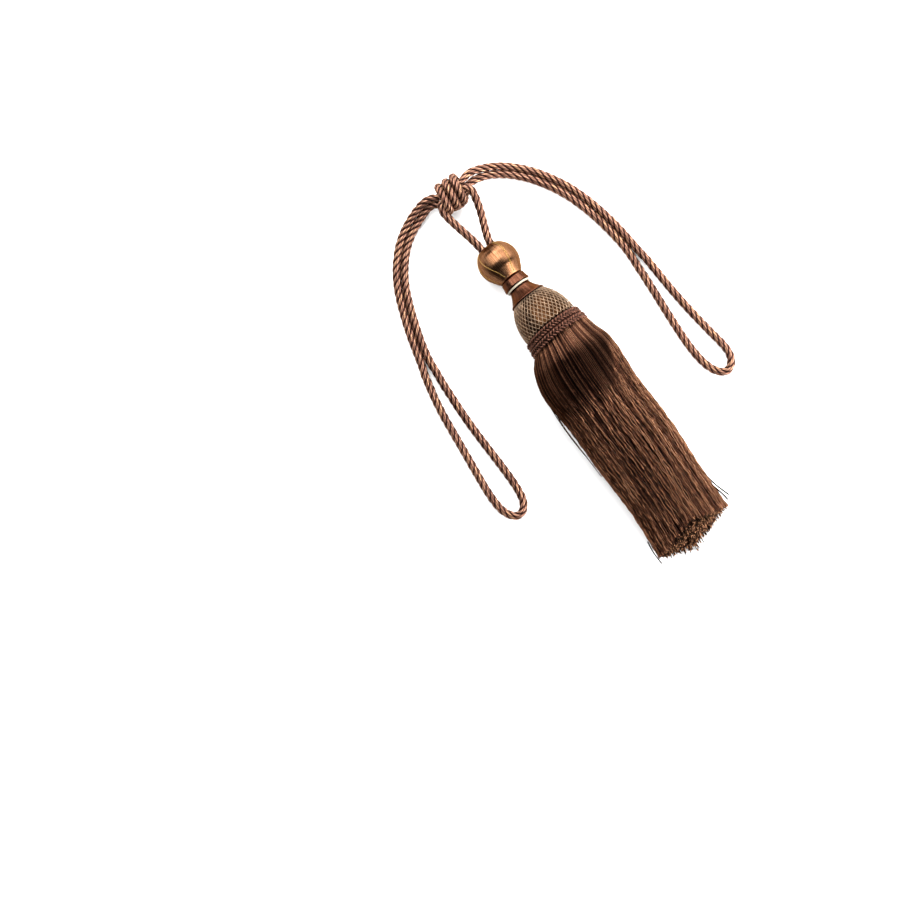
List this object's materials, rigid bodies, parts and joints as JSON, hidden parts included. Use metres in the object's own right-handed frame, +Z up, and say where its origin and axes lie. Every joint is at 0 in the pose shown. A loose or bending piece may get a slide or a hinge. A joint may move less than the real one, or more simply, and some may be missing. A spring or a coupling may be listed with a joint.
{
  "type": "curtain tieback tassel",
  "caption": "Curtain tieback lying flat: a long thread tassel under a wound ball, collars, a netted egg and a braided ruff, hung from a knotted rope with a loop at each side.",
  "frame": {"origin": "on the surface that the tassel lies on, under the middle of the box round the tassel and the knot", "axes": "+Y along the tassel from its skirt to its knot, +Z up from the surface, +X to the right as seen from above with the knot away from the viewer"},
  "size_m": [0.2373, 0.3684, 0.066],
  "materials": {
    "rope": "satin yarn, laid up in four strands",
    "ball_satin": "copper and gold satin thread, wound",
    "collar_satin": "dark brown satin thread, wound",
    "cream_cord": "cream cord",
    "net": "beige knotted net over dark satin",
    "ruff": "dark maroon braided gimp",
    "skirt": "cut viscose threads in brown, copper and gold"
  },
  "bodies": {
    "root": {"embrace_left": "rope", "embrace_right": "rope", "hanger_cord": "rope", "knot": "rope", "ball": "ball_satin", "upper_collar": "collar_satin", "cream_ring": "cream_cord", "lower_collar": "collar_satin", "egg": "net", "ruff": "ruff", "skirt": "skirt"}
  },
  "joints": []
}
